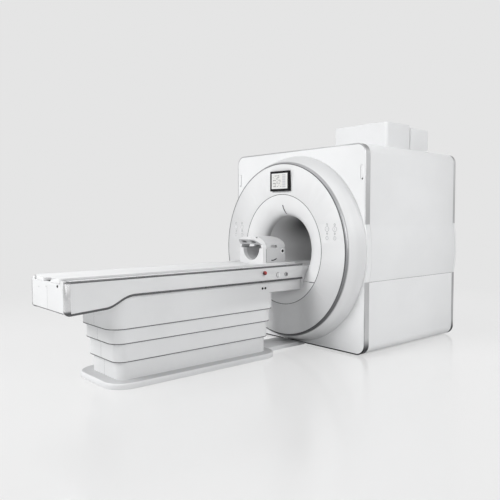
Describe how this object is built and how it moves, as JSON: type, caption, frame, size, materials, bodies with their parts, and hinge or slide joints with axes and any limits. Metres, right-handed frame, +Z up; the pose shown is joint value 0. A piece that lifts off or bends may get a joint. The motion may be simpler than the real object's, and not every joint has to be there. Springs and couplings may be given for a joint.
{
  "type": "mri scanner",
  "caption": "Rounded-square white MRI gantry with a round flared bore, roof box and front monitor, and a patient table with sliding top and hinged head coil on a telescoping pedestal.",
  "frame": {"origin": "on the floor under the middle of the magnet, midway between its four anchor holes", "axes": "+Z up, +Y along the bore away from the table, +X to the right of someone at the table's foot who looks into the bore"},
  "size_m": [2.056, 4.735, 2.514],
  "materials": {
    "cover_white": "satin white lacquered glass-fibre cover",
    "drum_white": "satin white lacquer",
    "dish_white": "glossy white lacquer",
    "flare_white": "glossy white lacquer",
    "liner_white": "matt white laminate",
    "deck_white": "satin white moulding",
    "trim_silver": "satin dark silver",
    "ring_grey": "satin grey metallic",
    "laser_glass": "dark tinted window",
    "monitor_black": "glossy black",
    "screen": "lit screen",
    "key_print": "printed membrane key",
    "vessel_steel": "white painted steel vessel",
    "coil_resin": "cast resin",
    "bare_steel": "bare steel",
    "frame_steel": "grey painted steel",
    "table_white": "satin white lacquer",
    "table_trim": "satin dark silver",
    "tabletop_white": "satin white laminate",
    "pedestal_white": "satin white lacquer",
    "base_white": "satin white paint",
    "column_steel": "bare aluminium",
    "motor_grey": "dark grey paint",
    "wheel_rubber": "rubber",
    "stop_red": "glossy red",
    "key_black": "black",
    "knob_white": "glossy white",
    "knob_grey": "satin grey",
    "coil_white": "satin white moulding"
  },
  "bodies": {
    "scanner": {"body_coil": "coil_resin", "bore_deck": "deck_white", "bore_liner": "liner_white", "bridge_nose": "deck_white", "cold_head": "bare_steel", "cover_frame": "frame_steel", "dish": "dish_white", "drum": "drum_white", "drum_trim_ring": "ring_grey", "flare_lower": "flare_white", "flare_upper": "flare_white", "front_cover": "cover_white", "front_trim": "trim_silver", "gradient_coil": "coil_resin", "laser_window": "laser_glass", "magnet_feet": "bare_steel", "magnet_vessel": "vessel_steel", "monitor_case": "monitor_black", "monitor_screen": "screen", "rear_cover": "cover_white", "rear_flare": "flare_white", "rear_service_cover": "cover_white", "rear_trim": "trim_silver", "side_cover_lower_left": "cover_white", "side_cover_lower_right": "cover_white", "side_cover_upper_left": "cover_white", "side_cover_upper_right": "cover_white", "top_cover": "cover_white", "touch_keys": "key_print", "turret_cover": "cover_white", "base_plate": "base_white", "dock_plate": "base_white", "lift_column_outer": "column_steel", "lift_motor": "motor_grey", "pedestal_cover_foot": "pedestal_white"},
    "table": {"belly_cover": "table_white", "foot_end_cover": "table_white", "head_end_cover": "table_white", "lift_column_inner": "column_steel", "pedestal_cover_top": "pedestal_white", "slide_motor": "motor_grey", "table_frame": "frame_steel", "table_rails": "column_steel", "table_side_left": "table_white", "table_side_right": "table_white", "table_trims": "table_trim"},
    "tabletop": {"tabletop": "tabletop_white", "head_coil_base": "coil_white"},
    "coil_lid": {"head_coil_lid": "coil_white"},
    "drive_wheel": {"drive_wheel": "wheel_rubber"},
    "cover_middle": {"pedestal_cover_middle": "pedestal_white"},
    "cover_lower": {"pedestal_cover_lower": "pedestal_white"},
    "column_middle": {"lift_column_middle": "column_steel"},
    "stop_button": {"stop_button": "stop_red"},
    "key_up": {"key_up": "key_black"},
    "key_down": {"key_down": "key_black"},
    "release_knob": {"release_knob": "knob_white"},
    "lock_knob": {"lock_knob": "knob_grey"}
  },
  "joints": [
    {"name": "table_lift", "type": "slide", "parent": "scanner", "child": "table", "axis": [0, 0, 1], "range_m": [-0.35, 0]},
    {"name": "cover_middle_drop", "type": "slide", "parent": "scanner", "child": "cover_middle", "axis": [0, 0, 1], "range_m": [-0.2334, 0]},
    {"name": "cover_lower_drop", "type": "slide", "parent": "scanner", "child": "cover_lower", "axis": [0, 0, 1], "range_m": [-0.1167, 0]},
    {"name": "column_middle_drop", "type": "slide", "parent": "scanner", "child": "column_middle", "axis": [0, 0, 1], "range_m": [-0.1751, 0]},
    {"name": "tabletop_slide", "type": "slide", "parent": "table", "child": "tabletop", "axis": [0, 1, 0], "range_m": [0, 1.7]},
    {"name": "drive_wheel_spin", "type": "hinge", "parent": "table", "child": "drive_wheel", "pos_m": [0, -1.48417, 0.8555], "axis": [-1, 0, 0], "range_deg": [0, 3250]},
    {"name": "coil_lid_tilt", "type": "hinge", "parent": "tabletop", "child": "coil_lid", "pos_m": [0, -1.151, 1.039], "axis": [1, 0, 0], "range_deg": [-60, 0]},
    {"name": "stop_button_press", "type": "slide", "parent": "table", "child": "stop_button", "axis": [-1, 0, 0], "range_m": [0, 0.004]},
    {"name": "key_up_press", "type": "slide", "parent": "table", "child": "key_up", "axis": [-1, 0, 0], "range_m": [0, 0.002], "stiffness_N_per_m": 800, "springref_m": -0.002},
    {"name": "key_down_press", "type": "slide", "parent": "table", "child": "key_down", "axis": [-1, 0, 0], "range_m": [0, 0.002], "stiffness_N_per_m": 800, "springref_m": -0.002},
    {"name": "release_knob_turn", "type": "hinge", "parent": "table", "child": "release_knob", "pos_m": [0.345, -1.361, 0.815], "axis": [1, 0, 0], "range_deg": [0, 90]},
    {"name": "lock_knob_turn", "type": "hinge", "parent": "table", "child": "lock_knob", "pos_m": [0.345, -1.252, 0.815], "axis": [1, 0, 0], "range_deg": [0, 90]}
  ],
  "couplings": [
    {"joint": "cover_middle_drop", "follows": "table_lift", "ratio": 0.6666},
    {"joint": "cover_lower_drop", "follows": "table_lift", "ratio": 0.3333},
    {"joint": "column_middle_drop", "follows": "table_lift", "ratio": 0.5},
    {"joint": "drive_wheel_spin", "follows": "tabletop_slide", "rad_per_m": 33.333}
  ]
}
